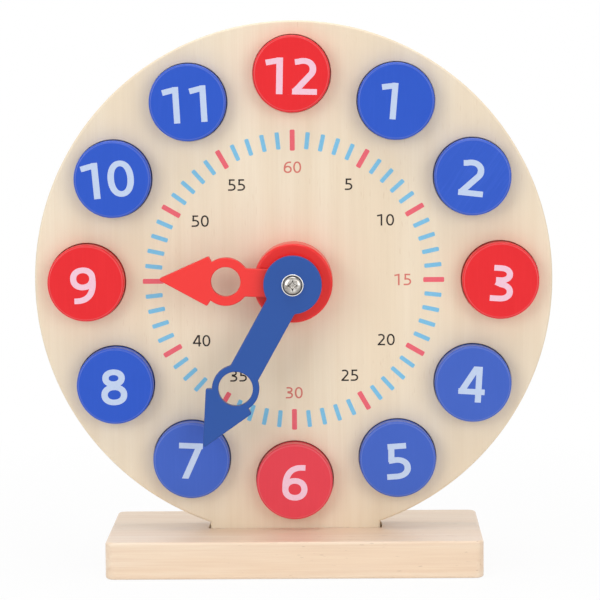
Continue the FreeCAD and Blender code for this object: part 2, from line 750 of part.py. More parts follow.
os.makedirs("parts", exist_ok=True)
for node in nodes:
    node.Shape.exportStep("parts/%s.step" % node.Label)
    box = node.Shape.BoundBox
    print("%-16s %8.1f mm3  %5.1f x %5.1f x %5.1f" % (
        node.Label, node.Shape.Volume, box.XLength, box.YLength, box.ZLength))
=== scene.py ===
import math

import bmesh
import bpy
import numpy as np
from mathutils import Matrix, Vector
from mathutils.geometry import delaunay_2d_cdt


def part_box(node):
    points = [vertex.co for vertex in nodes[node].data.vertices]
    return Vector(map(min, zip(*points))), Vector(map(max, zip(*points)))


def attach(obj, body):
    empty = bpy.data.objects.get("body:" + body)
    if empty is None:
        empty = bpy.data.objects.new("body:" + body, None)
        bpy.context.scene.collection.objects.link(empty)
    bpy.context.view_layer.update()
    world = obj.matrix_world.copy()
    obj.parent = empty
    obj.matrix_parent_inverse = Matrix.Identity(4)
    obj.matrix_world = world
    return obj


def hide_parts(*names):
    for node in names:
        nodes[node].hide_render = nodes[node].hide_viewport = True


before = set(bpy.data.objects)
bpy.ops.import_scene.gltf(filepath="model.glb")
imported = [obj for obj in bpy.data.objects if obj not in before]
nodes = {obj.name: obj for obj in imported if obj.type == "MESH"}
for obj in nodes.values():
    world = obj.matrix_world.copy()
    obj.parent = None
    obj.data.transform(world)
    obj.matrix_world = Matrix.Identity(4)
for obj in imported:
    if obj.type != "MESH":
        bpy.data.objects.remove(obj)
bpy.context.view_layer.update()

# The geared teaching clock: a wooden dial in a slotted foot, twelve painted number discs, and
# two plastic hands on a red gear drum. Shapes are drawn in millimetres about the dial's centre,
# u across, v up and "forward" out of the dial's face, and are placed by the frame.

mm = 0.001

boardLow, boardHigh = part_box("dial_board")
dialRadius = (boardHigh.x - boardLow.x) / 2 / mm
dialFace = boardLow.y / mm                       # the front face, as a y
dialThickness = (boardHigh.y - boardLow.y) / mm
dialCentre = boardHigh.z / mm - dialRadius       # its centre, as a z

redHours = (12, 3, 6, 9)
hubHeadRadius = 2.6                              # the three screws from the back
hubScrewTurns = (60, 180, 300)                   # where they stand, in degrees

# a screw's recess is a star, |x| ^ power + |z| ^ power = span ^ power
starPower = 0.62
starSpan = 2.65                                  # the front screw's


def onDial(plan, forward):
    # (u, v) across the dial and a distance forward become (x, y, z) in metres
    plan = np.asarray(plan, float)
    forward = np.broadcast_to(forward, plan.shape[:-1])
    return np.stack([plan[..., 0], dialFace - forward, dialCentre + plan[..., 1]], -1) * mm


def onFoot(plan, height):
    # (x, y) on the floor and a height become (x, y, z) in metres
    plan = np.asarray(plan, float)
    height = np.broadcast_to(height, plan.shape[:-1])
    return np.stack([plan[..., 0], plan[..., 1], height], -1) * mm


def nodeRadius(name):
    # half a round node's width
    low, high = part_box(name)
    return (high.x - low.x) / 2 / mm


def nodeSpan(name):
    # a node's back and front, as distances forward of the dial's face
    low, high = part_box(name)
    return dialFace - high.y / mm, dialFace - low.y / mm


def discPlace(hour):
    # the middle of a number disc, (u, v) from the dial's centre, read from its node
    low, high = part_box("number_disc_%d" % hour)
    return np.array([(low.x + high.x) / 2 / mm, (low.z + high.z) / 2 / mm - dialCentre])


# outlines


def around(angle):
    # the unit circle's points at these angles
    return np.stack([np.cos(angle), np.sin(angle)], -1)


def circleLoop(centre, radius, count):
    # points at equal angles, running anticlockwise
    angle = np.linspace(0, 2 * np.pi, count, endpoint=False)
    return np.asarray(centre) + radius * around(angle)


def hubScrewPlaces():
    # the screws' circle reaches to the middle of the leftmost head
    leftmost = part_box("hub_screws")[0].x / mm
    return (-leftmost - hubHeadRadius) * around(np.radians(hubScrewTurns))


def roundedBox(width, height, radius, steps, centre=(0, 0)):
    # a rectangle whose corners are quarter circles, running anticlockwise
    angle = np.linspace(0, np.pi / 2, steps)
    corners = []
    for quarter, (across, up) in enumerate([(1, 1), (-1, 1), (-1, -1), (1, -1)]):
        middle = np.array([across * (width / 2 - radius), up * (height / 2 - radius)])
        corners.append(middle + radius * around(angle + quarter * np.pi / 2))
    return np.asarray(centre) + np.vstack(corners)


def turnedBy(degrees):
    # rows of (u, v) times this matrix are turned anticlockwise
    turn = math.radians(degrees)
    return np.array([[math.cos(turn), math.sin(turn)], [-math.sin(turn), math.cos(turn)]])


def outward(loop):
    # the mitred normal at each point: the two edge normals' sum, lengthened so that an
    # outline moved along it stays parallel to itself
    ahead = np.roll(loop, -1, axis=0) - loop
    ahead /= np.linalg.norm(ahead, axis=1)[:, None]
    right = np.stack([ahead[:, 1], -ahead[:, 0]], 1)
    both = right + np.roll(right, 1, axis=0)
    both /= np.linalg.norm(both, axis=1)[:, None]
    return both / np.sum(both * right, axis=1)[:, None]


def anticlockwise(loop):
    # the loop, turned round where its area, half the sum of cross products, is negative
    ahead = np.roll(loop, -1, axis=0)
    area = np.sum(loop[:, 0] * ahead[:, 1] - loop[:, 1] * ahead[:, 0])
    return loop if area > 0 else loop[::-1]


def insideLoop(points, loop):
    # even-odd rule: how many edges a ray to the right of each point crosses
    first, second = loop, np.roll(loop, -1, axis=0)
    x, y = points[:, :1], points[:, 1:]
    spans = (first[:, 1] > y) != (second[:, 1] > y)
    with np.errstate(divide="ignore", invalid="ignore"):
        slope = (second[:, 0] - first[:, 0]) / (second[:, 1] - first[:, 1])
        reach = first[:, 0] + (y - first[:, 1]) * slope
    return np.sum(spans & (x < reach), axis=1) % 2 == 1


def fillShapes(shapes):
    # triangles over the union of shapes; a shape is a list of loops, its outline and its holes
    sameSpot = 1e-5                                  # in mm: points nearer than this are one
    sliver = 1e-9                                    # in mm2, twice the area: less is left out
    loops = [loop for shape in shapes for loop in shape]
    points = np.vstack(loops)
    edges, first = [], 0
    for loop in loops:
        count = len(loop)
        edges += [(first + index, first + (index + 1) % count) for index in range(count)]
        first += count
    made = delaunay_2d_cdt([Vector(point) for point in points], edges, [], 0, sameSpot)
    flat = np.array([tuple(point) for point in made[0]])
    triangles = np.array([face for face in made[2] if len(face) == 3])
    middle = flat[triangles].mean(axis=1)
    kept = np.zeros(len(triangles), bool)
    for shape in shapes:
        odd = np.zeros(len(triangles), bool)
        for loop in shape:
            odd ^= insideLoop(middle, loop)
        kept |= odd
    triangles = triangles[kept]
    a, b, c = (flat[triangles[:, corner]] for corner in range(3))
    turn = (b[:, 0] - a[:, 0]) * (c[:, 1] - a[:, 1]) - (b[:, 1] - a[:, 1]) * (c[:, 0] - a[:, 0])
    triangles[turn < 0] = triangles[turn < 0][:, ::-1]
    return flat, triangles[np.abs(turn) > sliver]


# meshes

weld = 2e-6          # points of a mesh nearer than this, in metres, are one
noLength = 1e-7      # edges shorter than this, in metres, are dissolved
crease = 32          # faces that meet at more than this many degrees keep a sharp edge
flatMargin = 0.12    # a narrow flat ring beside each round, so that the face is shaded flat


def addObject(name, data):
    made = bpy.data.objects.new(name, data)
    bpy.context.scene.collection.objects.link(made)
    return made


def gridFaces(rows, columns):
    # quads between neighbouring rows of points, the last column joined to the first
    row, column = np.meshgrid(np.arange(rows - 1), np.arange(columns), indexing="ij")
    after = (column + 1) % columns
    here, there = row * columns, (row + 1) * columns
    return np.stack([here + column, here + after, there + after, there + column], -1).reshape(-1, 4)


def makePiece(name, parts, finish, body, replaced):
    # one object from (points, faces) parts: joined where they meet, faces outwards, shaded
    # smooth up to the crease angle, riding on its body in place of a node
    corners = np.vstack([points for points, partFaces in parts])
    faces, first = [], 0
    for points, partFaces in parts:
        faces += (np.asarray(partFaces) + first).tolist()
        first += len(points)
    mesh = bpy.data.meshes.new(name)
    mesh.from_pydata(corners.tolist(), [], faces)
    work = bmesh.new()
    work.from_mesh(mesh)
    bmesh.ops.remove_doubles(work, verts=work.verts, dist=weld)
    bmesh.ops.dissolve_degenerate(work, edges=work.edges, dist=noLength)
    bmesh.ops.recalc_face_normals(work, faces=work.faces)
    work.to_mesh(mesh)
    work.free()
    mesh.shade_smooth()
    mesh.set_sharp_from_angle(angle=math.radians(crease))
    mesh.materials.append(finish)
    piece = addObject(name, mesh)
    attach(piece, body)
    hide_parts(replaced)
    return piece


def faceRound(face, size, way, steps=7, margin=flatMargin):
    # (inset, forward) pairs from a face round to the wall beside it: the flat margin, a quarter
    # circle and a short run along the wall; way is 1 where forward leads in from the face, or -1
    if not size:
        return [(0, face)]
    quarter = np.linspace(0, np.pi / 2, steps)
    levels = [(size * (1 - math.sin(a)), face + way * size * (1 - math.cos(a))) for a in quarter]
    return [(size + margin, face)] + levels + [(0, face + way * (size + margin))]


def roundedRim(radius, forward, edge, steps=8, margin=flatMargin):
    # a turned piece's front edge as (radius, forward) pairs, up its side and in along its face
    levels = faceRound(forward, edge, -1, steps, margin)
    return [(radius - inset, level) for inset, level in levels[::-1]]


def wallGrid(loop, levels, place):
    # the loop repeated at each level, moved inwards by the level's inset
    normal = outward(loop)
    rings = loop[None] - normal[None] * levels[:, 0][:, None, None]
    points = place(rings, levels[:, 1][:, None])
    return rings, (points.reshape(-1, 3), gridFaces(len(levels), len(loop)))


def plateParts(outline, span, rounds, place, through=(), frontWells=(), backWells=()):
    # a plate from its back to its front: its wall, its through holes, its blind wells of
    # (loop, depth, edge round), each with a floor, and the two faces filled between them.
    # Holes are given anticlockwise
    back, front = span
    backRound, frontRound = rounds
    levels = np.array(faceRound(back, backRound, 1) + faceRound(front, frontRound, -1)[::-1])
    rings, wall = wallGrid(outline, levels, place)
    parts, frontLoops, backLoops = [wall], [rings[-1]], [rings[0]]
    for hole in through:
        rings, wall = wallGrid(hole[::-1], levels, place)
        parts.append(wall)
        frontLoops.append(rings[-1])
        backLoops.append(rings[0])
    sides = ((front, -1, frontWells, frontLoops), (back, 1, backWells, backLoops))
    for face, way, wells, loops in sides:
        for loop, depth, edge in wells:
            floor = face + way * depth
            levels = np.array(faceRound(face, edge, way) + [(0, floor)])
            rings, wall = wallGrid(loop[::-1], levels, place)
            flat, triangles = fillShapes([[rings[-1]]])
            parts += [wall, (place(flat, floor), triangles)]
            loops.append(rings[0])
        flat, triangles = fillShapes([loops])
        parts.append((place(flat, face), triangles))
    return parts


def turnedParts(centre, profile, count=128):
    # a profile of (radius, forward) turned round an axis that points forward through (u, v);
    # a point on the axis closes the surface there
    angle = np.linspace(0, 2 * np.pi, count, endpoint=False)
    radius, forward = np.asarray(profile, float).T
    plan = np.asarray(centre) + radius[:, None, None] * around(angle)
    points = onDial(plan, forward[:, None])
    return [(points.reshape(-1, 3), gridFaces(len(profile), count))]


def markRim(piece, share):
    # the points' "rim" value, 0 to 1, from a function of their u, v and distance forward
    mesh = piece.data
    places = np.empty(len(mesh.vertices) * 3)
    mesh.vertices.foreach_get("co", places)
    x, y, z = places.reshape(-1, 3).T / mm
    rim = mesh.attributes.new("rim", "FLOAT", "POINT")
    rim.data.foreach_set("value", np.clip(share(x, z - dialCentre, dialFace - y), 0, 1))


# shader maths


class Value:
    # one output of a node; arithmetic on it adds Math nodes, and | takes the larger of two
    def __init__(self, graph, socket):
        self.graph = graph
        self.socket = socket

    def __add__(self, other):
        return self.graph.maths("ADD", self, other)

    def __sub__(self, other):
        return self.graph.maths("SUBTRACT", self, other)

    def __rsub__(self, other):
        return self.graph.maths("SUBTRACT", other, self)

    def __mul__(self, other):
        return self.graph.maths("MULTIPLY", self, other)

    def __truediv__(self, other):
        return self.graph.maths("DIVIDE", self, other)

    def __rtruediv__(self, other):
        return self.graph.maths("DIVIDE", other, self)

    def __pow__(self, other):
        return self.graph.maths("POWER", self, other)

    def __rpow__(self, other):
        return self.graph.maths("POWER", other, self)

    def __or__(self, other):
        return self.graph.maths("MAXIMUM", self, other)

    def __abs__(self):
        return self.graph.maths("ABSOLUTE", self)

    __radd__ = __add__
    __rmul__ = __mul__
    __ror__ = __or__


class Graph:
    # a node tree, and the one way of adding a node to it
    def __init__(self, tree):
        self.tree = tree

    def add(self, kind, settings, inputs, output=0):
        node = self.tree.nodes.new(kind)
        for name, setting in settings.items():
            if name == "stops":
                while len(node.color_ramp.elements) < len(setting):
                    node.color_ramp.elements.new(0.5)
                for stop, (position, level) in zip(node.color_ramp.elements, setting):
                    stop.position = position
                    stop.color = (level, level, level, 1)
            else:
                setattr(node, name, setting)
        for name, value in inputs.items():
            self.feed(node.inputs[name], value)
        return Value(self, node.outputs[output])

    def feed(self, socket, value):
        if isinstance(value, Value):
            self.tree.links.new(value.socket, socket)
        else:
            socket.default_value = value

    def maths(self, operation, *terms):
        return self.add("ShaderNodeMath", {"operation": operation}, dict(enumerate(terms)))

    def vectorMaths(self, operation, *terms):
        output = "Value" if operation == "LENGTH" else "Vector"
        return self.add("ShaderNodeVectorMath", {"operation": operation}, dict(enumerate(terms)), output)

    def plainRays(self):
        # 1 on the rays that see the backdrop itself: the camera's, and those off mirrors and
        # through glass; 0 on those that carry light to the object
        kinds = ("Is Camera Ray", "Is Glossy Ray", "Is Transmission Ray")
        camera, glossy, through = (self.add("ShaderNodeLightPath", {}, {}, kind) for kind in kinds)
        return camera | glossy | through


class Finish(Graph):
    # a material with its one shader, and patterns on the object's own coordinates
    def __init__(self, name):
        self.material = bpy.data.materials.new(name)
        self.material.use_nodes = True
        super().__init__(self.material.node_tree)
        self.shader = self.tree.nodes["Principled BSDF"]
        self.place = self.add("ShaderNodeTexCoord", {}, {}, "Object")

    def set(self, values):
        for name, value in values.items():
            self.feed(self.shader.inputs[name], value)

    def noise(self, stretch, detail, rough=0.5, swirl=0.0, vector=None):
        # noise with so many cycles to a metre along each axis
        scaled = self.vectorMaths("MULTIPLY", vector or self.place, stretch)
        inputs = {"Vector": scaled, "Scale": 1.0, "Detail": detail, "Roughness": rough}
        return self.add("ShaderNodeTexNoise", {}, {**inputs, "Distortion": swirl})

    def rim(self):
        # what markRim wrote, 0 on the flat and 1 at the edge
        return self.add("ShaderNodeAttribute", {"attribute_name": "rim"}, {}, "Fac")

    def ramp(self, value, *stops):
        return self.add("ShaderNodeValToRGB", {"stops": stops}, {0: value})

    def mix(self, amount, first, second):
        return self.add("ShaderNodeMix", {"data_type": "RGBA"}, {0: amount, 6: first, 7: second}, 2)

    def bump(self, height, strength, distance):
        inputs = {"Height": height, "Strength": strength, "Distance": distance}
        self.feed(self.shader.inputs["Normal"], self.add("ShaderNodeBump", {}, inputs))


def seen(red, green, blue):
    # a colour as a screen shows it, 0 to 255, made linear
    levels = np.array([red, green, blue]) / 255
    linear = np.where(levels <= 0.04045, levels / 12.92, ((levels + 0.055) / 1.055) ** 2.4)
    return (*linear.tolist(), 1.0)


def tinted(colour, gain, lift=0.0):
    # a linear colour made deeper or paler: each level times the gain, plus the lift
    return (*(min(1.0, level * gain + lift) for level in colour[:3]), 1.0)


# finishes


def woodFinish(name, look):
    # pale wood: broad bands of tone, fine fibres and a few dark dashes, all drawn out along
    # the grain; the same fibres lift the surface a little
    wood = Finish(name)
    along, grain = look["along"], {}
    for part, (across, length) in look["cycles"].items():
        grain[part] = tuple(length if axis == along else across for axis in range(3))
    bands = wood.noise(grain["bands"], 2.0, 0.5, 0.6)
    streaks = wood.noise(grain["streaks"], 4.0, 0.6, 0.2)
    fibres = wood.noise(grain["fibres"], 2.0, 0.6)
    poreLine = look["poreLine"]
    pores = wood.ramp(wood.noise(grain["pores"], 1.0, 0.4), (poreLine, 0), (poreLine + 0.06, 1))
    patches = wood.ramp(wood.noise((14, 14, 14), 1.0), (0.5, 0), (0.62, 1))
    tone = wood.mix(wood.ramp(bands, (0.35, 0), (0.65, 1)), look["light"], look["warm"])
    tone = wood.mix(wood.ramp(streaks, (0.42, 0), (0.72, 1)) * look["streak"], tone, look["dark"])
    tone = wood.mix(wood.ramp(fibres, (0.3, 0), (0.8, 1)) * look["fibre"], tone, look["dark"])
    tone = wood.mix(pores * patches * look["pore"], tone, look["fleck"])
    wood.set({"Base Color": tone, "Roughness": streaks * 0.1 + look["roughness"]})
    wood.set({"Coat Weight": look["lacquer"], "Coat Roughness": 0.25, "Specular IOR Level": 0.4})
    wood.bump(fibres * 0.6 + streaks * 0.4 - pores * 0.5, look["lift"], 0.00012)
    return wood.material


def paintFinish(name, colour, deep, grain):
    # satin paint over wood: the grain shows through as faint ridges, and the paint is a
    # little thinner and paler on the ridges; where the rim begins to round, a painted highlight
    paint = Finish(name)
    spin = {"Vector": paint.place, "Angle": grain["angle"]}
    turned = paint.add("ShaderNodeVectorRotate", {"rotation_type": "Y_AXIS"}, spin)
    ridges = paint.noise((900, 900, 55), 3.0, 0.6, 0.0, turned)
    clouds = paint.noise((60, 60, 60), 2.0, 0.5)
    tone = paint.mix(paint.ramp(clouds, (0.35, 0), (0.7, 1)) * 0.35, colour, deep)
    worn = paint.ramp(ridges, (0.5, 0), (0.82, 1)) * grain["worn"]
    tone = paint.mix(worn, tone, tinted(colour, 1.25, 0.03))
    # painted highlight: a thin pale line where the rim begins to round
    ring = paint.ramp(paint.rim(), (0, 0), (0.12, 1), (0.3, 0.2), (1, 0.05))
    tone = paint.mix(ring * 0.35, tone, tinted(colour, 0.65, 0.3))
    paint.set({"Base Color": tone, "Roughness": ridges * 0.12 + 0.36, "Specular IOR Level": 0.1})
    paint.set({"Coat Weight": 0.35, "Coat Roughness": 0.12})
    paint.bump(ridges, grain["lift"], 0.0001)
    return paint.material


def inkFinish(name, colour, thin):
    # screen-printed ink, a little thinner in specks
    ink = Finish(name)
    specks = ink.ramp(ink.noise((1600, 1600, 900), 2.0, 0.6), (0.45, 0), (0.75, 1))
    ink.set({"Base Color": ink.mix(specks * 0.5, colour, thin), "Roughness": specks * 0.1 + 0.45})
    ink.set({"Specular IOR Level": 0.35})
    ink.bump(specks, 0.1, 0.00005)
    return ink.material


def plasticFinish(name, colour, deep, roughness, texture, coat):
    # moulded plastic: fine spark-eroded texture, with slow clouds in tone and gloss, and
    # painted shade: a deeper tone over the soft edges
    plastic = Finish(name)
    clouds = plastic.noise((45, 45, 45), 2.0, 0.5)
    pimples = plastic.noise((5200, 5200, 5200), 1.0, 0.5)
    tone = plastic.mix(clouds * 0.5, colour, deep)
    # painted shade: the soft edges take a deeper tone
    tone = plastic.mix(plastic.rim() * 0.5, tone, tinted(deep, 0.55))
    plastic.set({"Base Color": tone, "Roughness": clouds * 0.1 + roughness})
    plastic.set({"Coat Weight": coat, "Coat Roughness": 0.12, "Specular IOR Level": 0.15})
    plastic.bump(pimples, texture, 0.00004)
    return plastic.material


def steelFinish(name, centre, look):
    # turned steel: fine rings round the front screw's axis, with smudges in the gloss, and painted shade
    # and a painted highlight round that screw's head
    steel = Finish(name)
    moved = steel.vectorMaths("SUBTRACT", steel.place, centre)
    reach = steel.vectorMaths("LENGTH", steel.vectorMaths("MULTIPLY", moved, (1, 0, 1)))
    rings = steel.maths("SINE", reach * look["rings"])
    smudges = steel.noise((700, 700, 700), 3.0, 0.6)
    tone = steel.mix(steel.ramp(smudges, (0.35, 0), (0.65, 1)), look["bright"], look["dull"])
    far = reach * 100                                # in centimetres, as a ramp runs to 1
    # the line where the front screw's head meets its washer, 4.0 to 4.4 mm out, holds shadow
    seamShade = steel.ramp(far, (0.385, 0), (0.398, 1), (0.425, 1), (0.442, 0))
    tone = steel.mix(seamShade * 0.75, tone, look["seamShade"])
    # a painted highlight makes the washer outside it bright, and painted shade darkens the head towards
    # its edge
    tone = steel.mix(steel.ramp(far, (0.43, 0), (0.45, 1)), tone, look["washer"])
    shade = steel.ramp(far, (0.24, 0), (0.36, 1), (0.4, 1), (0.41, 0))
    tone = steel.mix(shade * 0.6, tone, look["headEdgeShade"])
    # the banks of its star hold shadow too: there the powers' sum nears that of the span
    arms = [steel.add("ShaderNodeSeparateXYZ", {}, {0: moved}, axis) for axis in ("X", "Z")]
    first, second = (abs(arm * (1 / mm)) ** starPower for arm in arms)
    half = (first + second) * (0.5 / starSpan ** starPower)
    banks = steel.ramp(half, (0.4, 0), (0.45, 1), (0.5, 1), (0.54, 0))
    tone = steel.mix(banks * 0.7, tone, look["bank"])
    steel.set({"Base Color": tone, "Roughness": smudges * 0.16 + 0.12, "Metallic": 1.0})
    steel.bump(rings * 0.3 + smudges, 0.12, 0.00003)
    return steel.material


finishes = {}    # every material by its name


def makeWoods():
    dialWood = {
        "along": 2,                                  # the grain runs up
        "cycles": {                                  # to a metre, across and along the grain
            "bands": (38, 2.2), "streaks": (230, 7), "fibres": (1500, 30), "pores": (1700, 160),
        },
        "light": seen(240, 226, 202), "warm": seen(236, 219, 192), "dark": seen(225, 205, 176),
        "fleck": seen(204, 174, 140), "poreLine": 0.68, "streak": 0.34, "fibre": 0.25, "pore": 0.3,
        "roughness": 0.42, "lift": 0.16, "lacquer": 0.05,
    }
    footWood = {
        "along": 0,                                  # the grain runs from end to end
        "cycles": {
            "bands": (95, 5), "streaks": (420, 12), "fibres": (1900, 45), "pores": (2100, 190),
        },
        "light": seen(244, 226, 203), "warm": seen(241, 217, 189), "dark": seen(226, 194, 164),
        "fleck": seen(150, 112, 84), "poreLine": 0.7, "streak": 0.55, "fibre": 0.4, "pore": 0.6,
        "roughness": 0.36, "lift": 0.25, "lacquer": 0.4,
    }
    finishes["dialWood"] = woodFinish("dialWood", dialWood)
    finishes["footWood"] = woodFinish("footWood", footWood)


def makePaints():
    upright = {"angle": 0.0, "lift": 0.12, "worn": 0.12}
    slanted = {"angle": -0.6, "lift": 0.25, "worn": 0.35}
    look = {
        # colour, deeper tone, and how the wood's grain shows through
        "redPaint": (seen(231, 34, 41), seen(225, 30, 38), upright),
        "fadedRedPaint": (seen(226, 62, 76), seen(221, 56, 70), upright),
        "bluePaint": (seen(38, 85, 197), seen(34, 80, 193), upright),
        "slantedBluePaint": (seen(44, 88, 197), seen(38, 82, 193), slanted),
        "paleBluePaint": (seen(62, 97, 193), seen(56, 92, 190), upright),
    }
    for name, settings in look.items():
        finishes[name] = paintFinish(name, *settings)


def makePlastics():
    look = {
        # colour, deeper tone, roughness, depth of texture, gloss coat
        "redPlastic": (seen(242, 57, 53), seen(235, 49, 47), 0.32, 0.1, 0.35),
        "drumPlastic": (seen(236, 44, 41), seen(228, 38, 37), 0.3, 0.06, 0.35),
        "bluePlastic": (seen(41, 83, 160), seen(36, 78, 153), 0.36, 0.16, 0.25),
        "gearPlastic": (seen(238, 236, 228), seen(228, 225, 214), 0.4, 0.1, 0.0),
    }
    for name, settings in look.items():
        finishes[name] = plasticFinish(name, *settings)


def makeSteel():
    look = {
        # the washer's tone is a painted highlight; the seam's, the head edge's and the star banks' tones
        # are painted shade
        "bright": seen(226, 222, 216), "dull": seen(158, 152, 145), "washer": seen(246, 245, 243),
        "seamShade": seen(64, 60, 56), "headEdgeShade": seen(104, 100, 92), "bank": seen(84, 80, 76),
        "rings": 42000,                              # radians of their wave to a metre
    }
    finishes["steel"] = steelFinish("steel", tuple(onDial((0, 0), 0).tolist()), look)


def makeInks():
    look = {
        # colour, and the tone where it is thin
        "whiteInk": (seen(191, 207, 234), seen(180, 198, 230)),
        "pinkishInk": (seen(240, 198, 214), seen(236, 178, 198)),
        "skyInk": (seen(120, 190, 226), seen(138, 200, 228)),
        "roseInk": (seen(234, 98, 112), seen(234, 116, 124)),
        "darkInk": (seen(28, 18, 15), seen(44, 32, 26)),
        "paleRoseInk": (seen(212, 116, 104), seen(216, 132, 118)),
    }
    for name, settings in look.items():
        finishes[name] = inkFinish(name, *settings)


makeWoods()
makePaints()
makePlastics()
makeSteel()
makeInks()
print("finishes made:", len(finishes))


# wood, drum, hands and screws


def makeBoard():
    look = {
        "tongueWidth": 76.0,
        "edge": 1.0,                                 # round along both rims
        "rimPoints": 240,
        "seatGap": 0.3,                              # disc to its seat, radially
        "seatEdge": 0.25,                            # the seats' mouths, broken with sandpaper
        "seatPoints": 96,
        "arborRoom": (4.2, 2.5, 32),                 # radius, depth and points, behind the gears
        "screwSeat": (2.9, 2.0, 40),                 # the same, for each screw's head
        "screwEdge": 0.2,
    }
    half = look["tongueWidth"] / 2
    start = math.asin(half / dialRadius)
    angle = np.linspace(-np.pi / 2 + start, 1.5 * np.pi - start, look["rimPoints"])
    foot = boardLow.z / mm - dialCentre
    outline = np.vstack([[(-half, foot), (half, foot)], dialRadius * around(angle)])
    seats = []
    for hour in range(1, 13):
        radius = nodeRadius("number_disc_%d" % hour) + look["seatGap"]
        depth = -nodeSpan("number_disc_%d" % hour)[0]
        seat = circleLoop(discPlace(hour), radius, look["seatPoints"])
        seats.append((seat, depth, look["seatEdge"]))
    radius, depth, count = look["arborRoom"]
    seats.append((circleLoop((0, 0), radius, count), depth, 0))
    radius, depth, count = look["screwSeat"]
    screws = [(circleLoop(place, radius, count), depth, look["screwEdge"]) for place in hubScrewPlaces()]
    rounds = (look["edge"], look["edge"])
    span = (-dialThickness, 0)
    parts = plateParts(outline, span, rounds, onDial, frontWells=seats, backWells=screws)
    makePiece("dialBoard", parts, finishes["dialWood"], "dial", "dial_board")


def makeFoot():
    look = {
        "corner": 4.0, "cornerPoints": 9, "edge": 1.2,
        "slotWidth": 77.4, "slotGap": 0.2, "slotCorner": 0.4, "slotPoints": 3, "slotEdge": 0.2,
    }
    low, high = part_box("base")
    width, depth, height = (high - low) / mm
    outline = roundedBox(width, depth, look["corner"], look["cornerPoints"])
    breadth = dialThickness + 2 * look["slotGap"]
    middle = (0, dialFace + dialThickness / 2)
    slot = roundedBox(look["slotWidth"], breadth, look["slotCorner"], look["slotPoints"], middle)
    wells = [(slot, height - boardLow.z / mm, look["slotEdge"])]
    rounds = (look["edge"], look["edge"])
    parts = plateParts(outline, (0, height), rounds, onFoot, frontWells=wells)
    makePiece("foot", parts, finishes["footWood"], "foot", "base")


def makeDiscs():
    look = {
        "edge": 1.0, "backEdge": 0.3,
        # the discs whose paint differs from the plain red or blue
        "special": {
            2: "slantedBluePaint", 4: "paleBluePaint", 5: "paleBluePaint", 6: "fadedRedPaint",
            7: "paleBluePaint",
        },
    }
    for hour in range(1, 13):
        node = "number_disc_%d" % hour
        middle, radius = discPlace(hour), nodeRadius(node)
        back, front = nodeSpan(node)
        profile = [(0, back), (radius - look["backEdge"], back), (radius, back + look["backEdge"])]
        profile += roundedRim(radius, front, look["edge"]) + [(0, front)]
        colour = "red" if hour in redHours else "blue"
        paint = finishes[look["special"].get(hour, colour + "Paint")]
        parts = turnedParts(middle, profile)
        disc = makePiece("disc%d" % hour, parts, paint, "disc_%d" % hour, node)
        (across, up), flat = middle, radius - look["edge"]
        # the rim value places the paint's painted highlight along the round
        markRim(disc, lambda u, v, forward: (np.hypot(u - across, v - up) - flat) / look["edge"])


def makeDrum():
    look = {"edge": 1.2, "bush": 4.06, "wall": 2.3, "roof": 2.0}
    radius = nodeRadius("hub_case")
    back, front = nodeSpan("hub_case")
    inside, under = radius - look["wall"], front - look["roof"]
    profile = [(radius, back)] + roundedRim(radius, front, look["edge"])
    profile += [(look["bush"], front), (look["bush"], under), (inside, under)]
    profile += [(inside, back), (radius, back)]
    parts = turnedParts((0, 0), profile)
    makePiece("gearDrum", parts, finishes["drumPlastic"], "dial", "hub_case")


def backOutlines(name):
    # the loops round a node's back face, in (u, v): its outline first, then its holes
    onBack = 1e-5                                    # in metres
    work = bmesh.new()
    work.from_mesh(nodes[name].data)
    bmesh.ops.remove_doubles(work, verts=work.verts, dist=weld)
    back = max(vertex.co.y for vertex in work.verts)
    for face in work.faces:
        face.tag = all(back - vertex.co.y < onBack for vertex in face.verts)
    after = {}
    for face in work.faces:
        for loop in face.loops:
            if face.tag and sum(other.tag for other in loop.edge.link_faces) == 1:
                after[loop.vert] = loop.link_loop_next.vert
    loops = []
    while after:
        start, here = after.popitem()
        loop = [start]
        while here in after:
            loop.append(here)
            here = after.pop(here)
        loops.append(np.array([(vertex.co.x / mm, vertex.co.z / mm - dialCentre) for vertex in loop]))
    work.free()
    loops.sort(key=lambda loop: -np.prod(np.ptp(loop, axis=0)))
    return [anticlockwise(loop) for loop in loops]


def makeHands():
    # the frame's outlines, with the moulded hands' soft edges
    look = {"backEdge": 0.2, "frontEdge": 0.5}
    rounds = (look["backEdge"], look["frontEdge"])
    for hand, colour in (("hour", "red"), ("minute", "blue")):
        node, body = hand + "_hand", hand + "_train"
        outline, *holes = backOutlines(node)
        back, front = nodeSpan(node)
        parts = plateParts(outline, (back, front), rounds, onDial, through=holes)
        finish = finishes[colour + "Plastic"]
        piece = makePiece(hand + "Hand", parts, finish, body, node)
        # the rim value places the plastic's painted shade along the front round
        markRim(piece, lambda u, v, forward: (front - forward) / look["frontEdge"])


